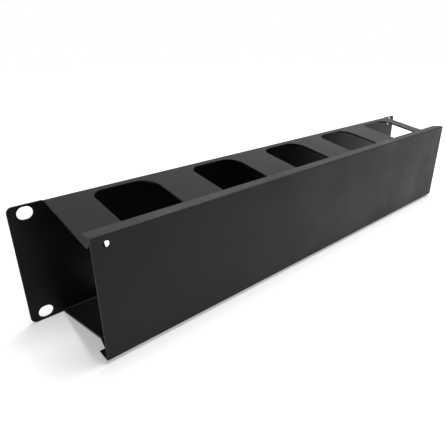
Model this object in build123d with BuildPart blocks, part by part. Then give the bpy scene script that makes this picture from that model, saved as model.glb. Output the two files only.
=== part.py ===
from build123d import *
from math import cos, radians, sin, tan
import os

# Horizontal cable manager, two units high, for a 19-inch rack.
# Millimetres. X runs along the length, the front faces -Y and Z is up. The origin is the
# middle of the four rack slots, on the rear face of the ears, which lies on the rack's rails.

# Rack ears, laid out from the standard places of the rack's screws
rack_slot_span = 465.1
rack_slot_rise = 76.2
rack_slot_length = 10.5
rack_slot_height = 9.0
slot_to_ear_end = 10.95
slot_to_ear_top = 5.8
ear_corner_radius = 4.0

# Channel, one folded sheet that is open at the front and at both ends
sheet = 1.5
slot_to_channel_end = 12.1
flange_above_ear = 0.45
flange_lean = 11.0
flange_depth = 63.2
rear_bend_radius = 3.0
lip_length = 10.7
lip_rise = 50.0
lip_bend_radius = 1.5

# Cable notches in both flanges, open at the front through the lips. The row starts at a set
# distance from the left end, and is as long as leaves a finger of some width at the right end
notch_width = 49.4
notch_left_radius = 9.0
notch_right_radius = 14.0
notch_setback = 7.6
finger_width = 36.9
left_finger_width = 30.1
least_right_finger_width = 15.0

# A narrow notch in each lip, behind the cover's small hole, so that a tie can lock the cover
tie_notch_width = 10.0
tie_notch_setback = 3.0
tie_notch_from_end = 10.2
tie_notch_corner_radius = 1.5

# Pass-through openings in the back plate
window_length = 48.8
window_height = 20.0
window_spacing = 56.2
least_window_margin = 30.0

# Front cover, one folded sheet whose lips hook just behind the ends of the channel's lips
cover_sheet = 1.0
cover_gap = 0.3
cover_standoff = 2.2
cover_overhang = 2.0
cover_lip_depth = 11.0
cover_lip_lean = 5.0
cover_bend_radius = 1.5
cover_hole_diameter = 4.3
cover_hole_from_end = 9.35
cover_hole_below_top = 6.6

# Overall sizes
channel_length = rack_slot_span - 2 * slot_to_channel_end
overall_width = rack_slot_span + 2 * slot_to_ear_end
ear_height = rack_slot_rise + 2 * slot_to_ear_top
channel_height = ear_height + 2 * flange_above_ear
cover_length = channel_length + 2 * cover_overhang

# Outer corners of the channel's section, as (y, z), before the bends are rounded
lean = radians(flange_lean)
fold_drop = rear_bend_radius * (tan(lean) + 1 / cos(lean) - 1)
rear_corner = Vector(0, channel_height / 2 + fold_drop)
lip_corner = Vector(-flange_depth, rear_corner.Y - flange_depth * tan(lean))
lip_direction = Vector(-cos(radians(lip_rise)), sin(radians(lip_rise)))
lip_end = lip_corner + lip_direction * lip_length
lip_front_y = lip_end.X - sheet * sin(radians(lip_rise))

# Outer corners of the cover's section. Its lips keep one gap from the ends of the channel's
# lips, and its plate stands off from them
cover_lean = radians(cover_lip_lean)
cover_front_y = lip_front_y - cover_standoff - cover_sheet
cover_corner_z = (lip_end.Y + (cover_gap + cover_sheet) / cos(cover_lean)
                  + (lip_end.X - cover_front_y) * tan(cover_lean))
cover_edge_y = cover_front_y + cover_lip_depth
cover_edge_z = cover_corner_z - cover_lip_depth * tan(cover_lean)

# The two patterns along the length
notch_pitch = notch_width + finger_width
notch_room = channel_length - left_finger_width - least_right_finger_width + finger_width
notch_count = int(notch_room // notch_pitch)
first_notch_x = -channel_length / 2 + left_finger_width + notch_width / 2
window_pitch = window_length + window_spacing
window_room = channel_length - 2 * least_window_margin + window_spacing
window_count = int(window_room // window_pitch)

# One notch, drawn on the flange with Y running back from the lip's fold: straight sides that
# run out past the lip, and rounded rear corners
notch_depth = (flange_depth - notch_setback) / cos(lean)
with BuildSketch() as notch:
    with BuildLine():
        sides = FilletPolyline(
            (-notch_width / 2, -lip_length),
            (-notch_width / 2, notch_depth),
            (notch_width / 2, notch_depth),
            (notch_width / 2, -lip_length),
            radius=[notch_left_radius, notch_right_radius],
        )
        Line(sides @ 1, sides @ 0)
    make_face()

# The punches for both rows of notches, square to the flanges
top_flange = Plane(
    origin=(0, lip_corner.X, lip_corner.Y),
    x_dir=(1, 0, 0),
    z_dir=(0, -sin(lean), cos(lean)),
)
with BuildPart() as notch_punches:
    with BuildSketch(top_flange):
        with Locations([(first_notch_x + i * notch_pitch, 0) for i in range(notch_count)]):
            add(notch.sketch)
        with Locations((tie_notch_from_end - channel_length / 2, (tie_notch_setback - lip_length) / 2)):
            RectangleRounded(tie_notch_width, tie_notch_setback + lip_length, tie_notch_corner_radius)
    extrude(amount=lip_length, both=True)
    mirror(about=Plane.XY)

# The channel: back plate, two flanges that lean inwards, and two lips turned outwards
with BuildPart() as channel_body:
    with BuildSketch(Plane.YZ):
        with BuildLine():
            FilletPolyline(
                (lip_end.X, -lip_end.Y),
                (lip_corner.X, -lip_corner.Y),
                (rear_corner.X, -rear_corner.Y),
                (rear_corner.X, rear_corner.Y),
                (lip_corner.X, lip_corner.Y),
                (lip_end.X, lip_end.Y),
                radius=[lip_bend_radius, rear_bend_radius, rear_bend_radius, lip_bend_radius],
            )
            offset(amount=sheet, side=Side.LEFT)
        make_face()
    extrude(amount=channel_length / 2, both=True)

    # The ears carry the back plate on past both ends of the channel
    with BuildSketch(Plane.XZ):
        RectangleRounded(overall_width, ear_height, ear_corner_radius)
        Rectangle(channel_length, ear_height, mode=Mode.SUBTRACT)
        with GridLocations(rack_slot_span, rack_slot_rise, 2, 2):
            SlotOverall(rack_slot_length, rack_slot_height, mode=Mode.SUBTRACT)
    extrude(amount=sheet)

    # Pass-throughs for cables that go on to the back of the rack
    with BuildSketch(Plane.XZ):
        with GridLocations(window_pitch, 0, window_count, 1):
            SlotOverall(window_length, window_height)
    extrude(amount=sheet, mode=Mode.SUBTRACT)

    # The notches leave fingers, with the lips at their tips
    add(notch_punches.part, mode=Mode.SUBTRACT)

channel_body.part.label = "channel_body"

# The cover: a front plate with two lips that lean inwards, so that they hook on the channel
with BuildPart() as front_cover:
    with BuildSketch(Plane.YZ):
        with BuildLine():
            FilletPolyline(
                (cover_edge_y, -cover_edge_z),
                (cover_front_y, -cover_corner_z),
                (cover_front_y, cover_corner_z),
                (cover_edge_y, cover_edge_z),
                radius=cover_bend_radius,
            )
            offset(amount=cover_sheet, side=Side.RIGHT)
        make_face()
    extrude(amount=cover_length / 2, both=True)

    # The one small hole, near the top left corner
    with BuildSketch(Plane.XZ.offset(-cover_front_y)):
        with Locations((-cover_length / 2 + cover_hole_from_end, cover_corner_z - cover_hole_below_top)):
            Circle(cover_hole_diameter / 2)
    extrude(amount=-cover_sheet, mode=Mode.SUBTRACT)

front_cover.part.label = "front_cover"

os.makedirs("parts", exist_ok=True)
export_step(channel_body.part, "parts/channel_body.step")
export_step(front_cover.part, "parts/front_cover.step")

for piece in (channel_body, front_cover):
    box = piece.part.bounding_box()
    print(piece.part.label, "volume", round(piece.part.volume, 1), "from", box.min, "to", box.max)
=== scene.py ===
# %% [markdown]
# # Horizontal cable manager, two units high
#
# The real object is a duct for patch cables that is screwed to the front of a server rack. It is
# made of two folded steel sheets with a black powder coat: a channel with rack ears and notched
# flanges, and a cover that hooks on the channel's lips.
#
# The CAD model already has every fold, slot and notch in its right place. What Blender adds is
# what CAD leaves out: cut edges that are softened by the coat, the coat's own fine texture, the
# light and the camera. Every length here is in metres, in the same frame as the CAD: X runs along
# the duct, the cover faces -Y, and Z is up.

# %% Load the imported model
import bmesh
import bpy
from math import atan2, degrees, radians
from mathutils import Matrix, Vector


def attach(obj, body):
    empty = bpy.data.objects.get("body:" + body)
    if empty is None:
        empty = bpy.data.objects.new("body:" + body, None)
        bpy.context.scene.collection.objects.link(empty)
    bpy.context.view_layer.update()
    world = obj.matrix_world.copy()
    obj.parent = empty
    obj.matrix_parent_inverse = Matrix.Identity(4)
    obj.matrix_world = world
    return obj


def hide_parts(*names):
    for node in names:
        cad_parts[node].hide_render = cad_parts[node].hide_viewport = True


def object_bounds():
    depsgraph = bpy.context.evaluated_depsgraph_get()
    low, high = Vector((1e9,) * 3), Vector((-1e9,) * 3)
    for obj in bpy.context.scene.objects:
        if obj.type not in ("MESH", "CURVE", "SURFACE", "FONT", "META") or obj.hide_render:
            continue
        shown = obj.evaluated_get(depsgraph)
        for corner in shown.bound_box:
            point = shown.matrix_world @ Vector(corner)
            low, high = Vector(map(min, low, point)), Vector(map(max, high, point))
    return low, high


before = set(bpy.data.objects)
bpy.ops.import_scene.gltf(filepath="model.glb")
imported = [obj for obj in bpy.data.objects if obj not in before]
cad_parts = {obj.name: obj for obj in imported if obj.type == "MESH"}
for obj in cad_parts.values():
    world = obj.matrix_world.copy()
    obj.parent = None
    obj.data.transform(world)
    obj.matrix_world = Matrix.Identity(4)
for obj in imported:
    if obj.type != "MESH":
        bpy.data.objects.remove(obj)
cad_low, cad_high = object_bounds()
print("CAD box in mm", [round(1000 * side, 1) for side in cad_high - cad_low])

# %% [markdown]
# ## Cut edges
#
# A laser or a punch leaves a square edge on sheet steel, but the powder melts and flows round it,
# so on the finished object each edge is a tiny round that catches a line of light. A CAD edge has
# no width at all and never shines.
#
# A bump map could fake that round, but only in the shading. Here a copy of each CAD mesh gets a
# real one. A CAD mesh arrives as loose triangles, so the copy's doubles are merged and its flat
# faces joined first, and then only the edges that turn by a right angle are bevelled. The folds
# are made of strips that turn by less than ten degrees each, so they are left alone.

# %% Helpers for the two sheets
MERGE_DISTANCE = 1e-6
FLAT_ANGLE = radians(0.5)
CUT_ANGLE = radians(40)


def joined_copy(node_name, piece_name):
    """A copy of a CAD node's mesh whose triangles share their corners and flat faces are whole."""
    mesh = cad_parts[node_name].data.copy()
    mesh.name = piece_name
    sheet = bmesh.new()
    sheet.from_mesh(mesh)
    bmesh.ops.remove_doubles(sheet, verts=sheet.verts, dist=MERGE_DISTANCE)
    bmesh.ops.dissolve_limit(sheet, angle_limit=FLAT_ANGLE, verts=sheet.verts, edges=sheet.edges)
    sheet.to_mesh(mesh)
    sheet.free()
    piece = bpy.data.objects.new(piece_name, mesh)
    bpy.context.scene.collection.objects.link(piece)
    return piece


def round_cut_edges(piece, radius, steps):
    """Bevels the square edges of a sheet, and keeps its flat faces looking flat."""
    sheet = bmesh.new()
    sheet.from_mesh(piece.data)
    cut_edges = [edge for edge in sheet.edges if edge.calc_face_angle(0) > CUT_ANGLE]
    bmesh.ops.bevel(
        sheet,
        geom=cut_edges,
        offset=radius,
        offset_type="OFFSET",
        affect="EDGES",
        segments=steps,
        profile=0.5,
        clamp_overlap=True,
        material=-1,
    )
    for face in sheet.faces:
        face.smooth = True
    sheet.to_mesh(piece.data)
    open_edges = sum(not edge.is_manifold for edge in sheet.edges)
    sheet.free()
    keep_flat = piece.modifiers.new("keep_flat_faces_flat", "WEIGHTED_NORMAL")
    keep_flat.keep_sharp = True
    keep_flat.weight = 100
    print(piece.name, "has", len(cut_edges), "rounded edges and", len(piece.data.polygons), "faces")
    print(piece.name, "has", open_edges, "open edges")


# %% [markdown]
# ## The channel and the cover
#
# Both sheets are made the same way. The channel's sheet is 1.5 mm thick and takes a slightly
# larger round than the cover's, which is 1 mm thick. Each copy stands in for its CAD node, rides
# on that node's body, and so follows the cover when it slides off.

# %% Make the two sheets
CHANNEL_EDGE_RADIUS = 0.0003
COVER_EDGE_RADIUS = 0.00022
EDGE_STEPS = 2

channel = joined_copy("channel_body", "coated_channel")
round_cut_edges(channel, CHANNEL_EDGE_RADIUS, EDGE_STEPS)
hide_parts("channel_body")
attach(channel, "channel")

cover = joined_copy("front_cover", "coated_cover")
round_cut_edges(cover, COVER_EDGE_RADIUS, EDGE_STEPS)
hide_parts("front_cover")
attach(cover, "cover")

# %% [markdown]
# ## The powder coat
#
# Powder is sprayed on dry and baked until it melts into a skin. It levels out almost flat, but
# not quite: the skin keeps low swells one or two millimetres across, called orange peel, with
# finer pits on them, and its gloss drifts a little from place to place. From arm's length it
# reads as an even black satin, and close up as a fine texture.
#
# Both sheets need the same effect, so it is built once, as a node group with named sockets. It
# puts out a colour, a roughness and a normal, and the shader itself stays in each material.

# %% Helpers for node groups
def new_group(name, inputs, outputs):
    """A shader node group with named sockets, and its own input and output nodes."""
    group = bpy.data.node_groups.new(name, "ShaderNodeTree")
    for socket_name, kind, value in inputs:
        socket = group.interface.new_socket(name=socket_name, in_out="INPUT", socket_type=kind)
        socket.default_value = value
    for socket_name, kind in outputs:
        group.interface.new_socket(name=socket_name, in_out="OUTPUT", socket_type=kind)
    return group, group.nodes.new("NodeGroupInput"), group.nodes.new("NodeGroupOutput")


def add_node(tree, kind, settings=(), values=(), links=()):
    """Adds one node, sets its fields and sockets, and links other nodes' outputs to it."""
    node = tree.nodes.new(kind)
    for field, value in dict(settings).items():
        setattr(node, field, value)
    for socket, value in dict(values).items():
        node.inputs[socket].default_value = value
    for socket, source in dict(links).items():
        tree.links.new(source, node.inputs[socket])
    return node


def math_node(tree, operation, first, second, clamp=False):
    """A Math node whose two inputs are each a number or another node's output."""
    node = add_node(tree, "ShaderNodeMath", {"operation": operation, "use_clamp": clamp})
    for socket, source in enumerate((first, second)):
        if isinstance(source, (int, float)):
            node.inputs[socket].default_value = source
        else:
            tree.links.new(source, node.inputs[socket])
    return node.outputs[0]


# %% The powder's noises
FLOAT = "NodeSocketFloat"
COLOUR = "NodeSocketColor"
NORMAL = "NodeSocketVector"

MID_GREY = (0.5, 0.5, 0.5, 1)
PEEL_HEIGHT = 0.00001
PIT_HEIGHT = 0.000003
DRIFTS_PER_METRE = 20
SPECKLES_PER_METRE = 1400
PEELS_PER_METRE = 650
PITS_PER_METRE = 2600
SPECKLE_SHARE = 0.35

powder, given, result = new_group(
    "powder_texture",
    inputs=[
        ("Colour", COLOUR, MID_GREY),
        ("Tone Drift", FLOAT, 0.1),
        ("Roughness", FLOAT, 0.5),
        ("Gloss Drift", FLOAT, 0.1),
        ("Peel Height", FLOAT, PEEL_HEIGHT),
        ("Pit Height", FLOAT, PIT_HEIGHT),
    ],
    outputs=[("Colour", COLOUR), ("Roughness", FLOAT), ("Normal", NORMAL)],
)
place = add_node(powder, "ShaderNodeTexCoord").outputs["Object"]


def powder_noise(scale, detail):
    """Noise over the sheet, with so many swells to the metre."""
    return add_node(
        powder,
        "ShaderNodeTexNoise",
        values={"Scale": scale, "Detail": detail, "Roughness": 0.55},
        links={"Vector": place},
    ).outputs["Fac"]


drift = powder_noise(DRIFTS_PER_METRE, detail=3)
speckle = powder_noise(SPECKLES_PER_METRE, detail=2)
peel = powder_noise(PEELS_PER_METRE, detail=1)
pits = powder_noise(PITS_PER_METRE, detail=2)
print("noises per metre", DRIFTS_PER_METRE, SPECKLES_PER_METRE, PEELS_PER_METRE, PITS_PER_METRE)

# %% [markdown]
# ## One swing for tone and gloss
#
# A wide drift with a third of fine speckle on top swings round zero, and moves both the tone and
# the gloss. The tone is a factor round one on the colour, and the gloss is added to the roughness.
# Peel and pits are heights in metres, which the Bump node turns into a normal.

# %% The powder texture
swing = math_node(powder, "SUBTRACT", drift, 0.5)
fleck = math_node(powder, "MULTIPLY", math_node(powder, "SUBTRACT", speckle, 0.5), SPECKLE_SHARE)
both_swings = math_node(powder, "ADD", swing, fleck)
tone = math_node(
    powder,
    "ADD",
    math_node(powder, "MULTIPLY", both_swings, given.outputs["Tone Drift"]),
    1,
)
coloured = add_node(
    powder,
    "ShaderNodeVectorMath",
    {"operation": "SCALE"},
    links={0: given.outputs["Colour"], "Scale": tone},
)
gloss = math_node(
    powder,
    "ADD",
    given.outputs["Roughness"],
    math_node(powder, "MULTIPLY", both_swings, given.outputs["Gloss Drift"]),
    clamp=True,
)
relief = math_node(
    powder,
    "ADD",
    math_node(powder, "MULTIPLY", peel, given.outputs["Peel Height"]),
    math_node(powder, "MULTIPLY", pits, given.outputs["Pit Height"]),
)
bumpy = add_node(
    powder,
    "ShaderNodeBump",
    values={"Strength": 1.0, "Distance": 1.0},
    links={"Height": relief},
)
powder.links.new(coloured.outputs[0], result.inputs["Colour"])
powder.links.new(gloss, result.inputs["Roughness"])
powder.links.new(bumpy.outputs["Normal"], result.inputs["Normal"])
print("group", powder.name, "with", len(powder.nodes), "nodes")

# %% [markdown]
# ## Worn edges and painted edge highlights
#
# A coat is thinnest on an edge, and that is where hands, cables and the cover's hooks rub it, so
# the edges of such parts turn a little paler than the faces. The paler colour is also a painted
# highlight, standing in for the line of light that a rounded edge catches. The Bevel node gives the
# normal that a wider round would have. Where it disagrees with the true normal an edge is near, and
# a little noise keeps the rubbing from running along like a drawn line.

# %% The worn edges, with their painted highlight
# Width and strength of the paler edges: partly worn coat, partly a painted highlight.
WORN_AND_HIGHLIT_WIDTH = 0.0004
EDGE_CONTRAST = 4
PATCHES_PER_METRE = 160
LEAST_WEAR_AND_HIGHLIGHT = 0.2

edge_wear_and_highlight_group, given_edge, result_edge = new_group(
    "worn_and_highlit_edges",
    inputs=[("Width", FLOAT, WORN_AND_HIGHLIT_WIDTH), ("Amount", FLOAT, 0.5)],
    outputs=[("Mask", FLOAT)],
)
wider_round = add_node(
    edge_wear_and_highlight_group,
    "ShaderNodeBevel",
    {"samples": 6},
    links={"Radius": given_edge.outputs["Width"]},
)
true_normal = add_node(edge_wear_and_highlight_group, "ShaderNodeNewGeometry").outputs["Normal"]
agreement = add_node(
    edge_wear_and_highlight_group,
    "ShaderNodeVectorMath",
    {"operation": "DOT_PRODUCT"},
    links={0: wider_round.outputs["Normal"], 1: true_normal},
).outputs["Value"]
disagreement = math_node(edge_wear_and_highlight_group, "SUBTRACT", 1, agreement, clamp=True)
nearness = math_node(edge_wear_and_highlight_group, "MULTIPLY", disagreement, EDGE_CONTRAST, clamp=True)
patches = add_node(
    edge_wear_and_highlight_group,
    "ShaderNodeTexNoise",
    values={"Scale": PATCHES_PER_METRE, "Detail": 3},
    links={"Vector": add_node(edge_wear_and_highlight_group, "ShaderNodeTexCoord").outputs["Object"]},
).outputs["Fac"]
wear_and_highlight_patches = math_node(edge_wear_and_highlight_group, "ADD", patches, LEAST_WEAR_AND_HIGHLIGHT, clamp=True)
broken_up = math_node(edge_wear_and_highlight_group, "MULTIPLY", nearness, wear_and_highlight_patches)
edge_wear_and_highlight_group.links.new(
    math_node(edge_wear_and_highlight_group, "MULTIPLY", broken_up, given_edge.outputs["Amount"], clamp=True),
    result_edge.inputs["Mask"],
)
print("group", edge_wear_and_highlight_group.name, "with", len(edge_wear_and_highlight_group.nodes), "nodes")

# %% [markdown]
# ## The two coats
#
# The channel and the cover come out of the same oven, in the same black. A coat of this kind
# reflects far less than a varnish does when it is seen square on, and much more along a shallow
# line of sight, which is why the real cover looks paler towards its far end. A low index of
# refraction in the shader gives that, with no painted gradient.

# %% Make the coats
BLACK_POWDER = (0.010, 0.010, 0.0102, 1)
# The paler edge colour: partly worn coat, partly a painted highlight.
WORN_AND_HIGHLIT_POWDER = (0.035, 0.035, 0.036, 1)
TONE_DRIFT = 0.5
GLOSS_DRIFT = 0.38


def powder_coat(name, roughness, index_of_refraction, edge_wear_and_highlight):
    """The material of one coated sheet."""
    material = bpy.data.materials.new(name)
    material.use_nodes = True
    tree = material.node_tree
    tree.nodes.clear()
    texture = add_node(
        tree,
        "ShaderNodeGroup",
        {"node_tree": powder},
        {
            "Colour": BLACK_POWDER,
            "Roughness": roughness,
            "Tone Drift": TONE_DRIFT,
            "Gloss Drift": GLOSS_DRIFT,
        },
    )
    edges = add_node(tree, "ShaderNodeGroup", {"node_tree": edge_wear_and_highlight_group}, {"Amount": edge_wear_and_highlight})
    # Paler near the edges: partly worn coat, partly a painted highlight along them.
    paler = add_node(
        tree,
        "ShaderNodeMix",
        {"data_type": "RGBA"},
        {"B": WORN_AND_HIGHLIT_POWDER},
        {"Factor": edges.outputs["Mask"], "A": texture.outputs["Colour"]},
    )
    shader = add_node(
        tree,
        "ShaderNodeBsdfPrincipled",
        values={"IOR": index_of_refraction, "Metallic": 0.0},
        links={
            "Base Color": paler.outputs["Result"],
            "Roughness": texture.outputs["Roughness"],
            "Normal": texture.outputs["Normal"],
        },
    )
    add_node(tree, "ShaderNodeOutputMaterial", links={"Surface": shader.outputs["BSDF"]})
    print("material", name, "roughness", roughness, "IOR", index_of_refraction)
    return material


channel_coat = powder_coat(
    "channel_powder_coat",
    roughness=0.36,
    index_of_refraction=1.22,
    edge_wear_and_highlight=0.5,
)
cover_coat = powder_coat(
    "cover_powder_coat",
    roughness=0.50,
    index_of_refraction=1.30,
    edge_wear_and_highlight=0.4,
)
for piece, coat in ((channel, channel_coat), (cover, cover_coat)):
    piece.material_slots[0].material = coat

# %% [markdown]
# ## The floor
#
# The object lies on pale paper. The paper is lit by the same lamp as the object and takes its
# shadow. A camera sees only what the paper sends back, which is a little short of white, so the
# missing part is added for camera rays and for the reflections in the coat, but not as light on
# the object. Further out, where no shadow reaches, more and more is added, until the paper is as
# white as the room and no horizon shows.

# %% Make the floor
FLOOR_REACH = 6.0
PAPER = (0.86, 0.86, 0.86, 1)
PAPER_ROUGHNESS = 0.9
WHITE = (1, 1, 1, 1)
NEAR_FILL = 0.4
FAR_FILL = 1.0
FADE_FROM = 0.45
FADE_TO = 1.3


def seen_directly(tree):
    """One for the rays that show a background: from the camera, a reflection or glass."""
    rays = add_node(tree, "ShaderNodeLightPath")
    direct = math_node(tree, "MAXIMUM", rays.outputs["Is Camera Ray"], rays.outputs["Is Glossy Ray"])
    return math_node(tree, "MAXIMUM", direct, rays.outputs["Is Transmission Ray"])


floor_mesh = bpy.data.meshes.new("floor")
paper_sheet = bmesh.new()
bmesh.ops.create_grid(
    paper_sheet,
    x_segments=1,
    y_segments=1,
    size=FLOOR_REACH / 2,
    matrix=Matrix.Translation((0, 0, cad_low.z)),
)
paper_sheet.to_mesh(floor_mesh)
paper_sheet.free()
floor = bpy.data.objects.new("floor", floor_mesh)
bpy.context.scene.collection.objects.link(floor)

paper = bpy.data.materials.new("pale_paper")
paper.use_nodes = True
paper.node_tree.nodes.clear()
distance = add_node(
    paper.node_tree,
    "ShaderNodeVectorMath",
    {"operation": "LENGTH"},
    links={0: add_node(paper.node_tree, "ShaderNodeTexCoord").outputs["Object"]},
)
fill = add_node(
    paper.node_tree,
    "ShaderNodeMapRange",
    {"interpolation_type": "SMOOTHSTEP"},
    {"From Min": FADE_FROM, "From Max": FADE_TO, "To Min": NEAR_FILL, "To Max": FAR_FILL},
    {"Value": distance.outputs["Value"]},
)
seen_fill = math_node(
    paper.node_tree,
    "MULTIPLY",
    seen_directly(paper.node_tree),
    fill.outputs["Result"],
)
paper_shader = add_node(
    paper.node_tree,
    "ShaderNodeBsdfPrincipled",
    values={
        "Base Color": PAPER,
        "Roughness": PAPER_ROUGHNESS,
        "Specular IOR Level": 0.0,
        "Emission Color": WHITE,
    },
    links={"Emission Strength": seen_fill},
)
add_node(
    paper.node_tree,
    "ShaderNodeOutputMaterial",
    links={"Surface": paper_shader.outputs["BSDF"]},
)
floor_mesh.materials.append(paper)
print("floor at z =", round(cad_low.z, 4))

# %% [markdown]
# ## The room
#
# The room has no walls. It is the world's own light, full white for the rays that show a
# background, and much dimmer as a lamp.

# %% Make the room
ROOM_AS_LAMP = 0.15

room = bpy.data.worlds.new("white_room")
bpy.context.scene.world = room
room.use_nodes = True
room.node_tree.nodes.clear()
room_strength = add_node(
    room.node_tree,
    "ShaderNodeMix",
    {"data_type": "FLOAT"},
    {"A": ROOM_AS_LAMP, "B": 1.0},
    {"Factor": seen_directly(room.node_tree)},
)
room_light = add_node(
    room.node_tree,
    "ShaderNodeBackground",
    values={"Color": WHITE},
    links={"Strength": room_strength.outputs["Result"]},
)
add_node(
    room.node_tree,
    "ShaderNodeOutputWorld",
    links={"Surface": room_light.outputs["Background"]},
)
print("room lights the duct with", ROOM_AS_LAMP, "of its white")

# %% [markdown]
# ## The lamp
#
# One large soft lamp hangs high above the duct, nearer to its right end, as the fingers and the
# cover are brightest there in the photograph and the left end is almost black. It lights the tops
# of the fingers and the paper in front, which the cover mirrors, and it leaves the inside of the
# duct to what the paper and the room give it.

# %% Hang the lamp
LAMP_PLACE = Vector((0.4, 0.0, 1.7))
LAMP_AIM = Vector((0, -0.03, 0))
LAMP_WIDTH = 1.2
LAMP_POWER = 35

light = bpy.data.lights.new("overhead_lamp", "AREA")
light.size = LAMP_WIDTH
light.energy = LAMP_POWER
lamp = bpy.data.objects.new("overhead_lamp", light)
lamp.location = LAMP_PLACE
lamp.rotation_euler = (LAMP_AIM - LAMP_PLACE).to_track_quat("-Z", "Y").to_euler()
bpy.context.scene.collection.objects.link(lamp)
print("lamp of", LAMP_POWER, "W at", [round(c, 2) for c in LAMP_PLACE])

# %% [markdown]
# ## Camera
#
# The photograph was taken from the left end, a little above the duct and close to it. The camera
# was solved from the rack slots, whose spacing is a standard one, and from the corners of the
# ears, the cover and the notches. Its place and angles are set here, and a tiny roll.

# %% Place the camera
CAMERA_PLACE = (-0.30262, -0.27403, 0.14024)
CAMERA_AZIMUTH = 41.528
CAMERA_ELEVATION = 23.902
CAMERA_ROLL = -0.653
CAMERA_LENS = 33.691

camera = bpy.data.objects.new("camera", bpy.data.cameras.new("camera"))
camera.data.lens = CAMERA_LENS
camera.data.clip_start = 0.01
camera.data.clip_end = 20
camera.matrix_world = (
    Matrix.Translation(CAMERA_PLACE)
    @ Matrix.Rotation(radians(-CAMERA_AZIMUTH), 4, "Z")
    @ Matrix.Rotation(radians(90 - CAMERA_ELEVATION), 4, "X")
    @ Matrix.Rotation(radians(CAMERA_ROLL), 4, "Z")
)
bpy.context.scene.collection.objects.link(camera)
bpy.context.scene.camera = camera
bpy.context.scene.view_settings.view_transform = "Standard"
sight = camera.matrix_world.to_3x3() @ Vector((0, 0, -1))
print("camera looks along", [round(c, 4) for c in sight])
print("azimuth in degrees", round(degrees(atan2(sight.x, sight.y)), 2))
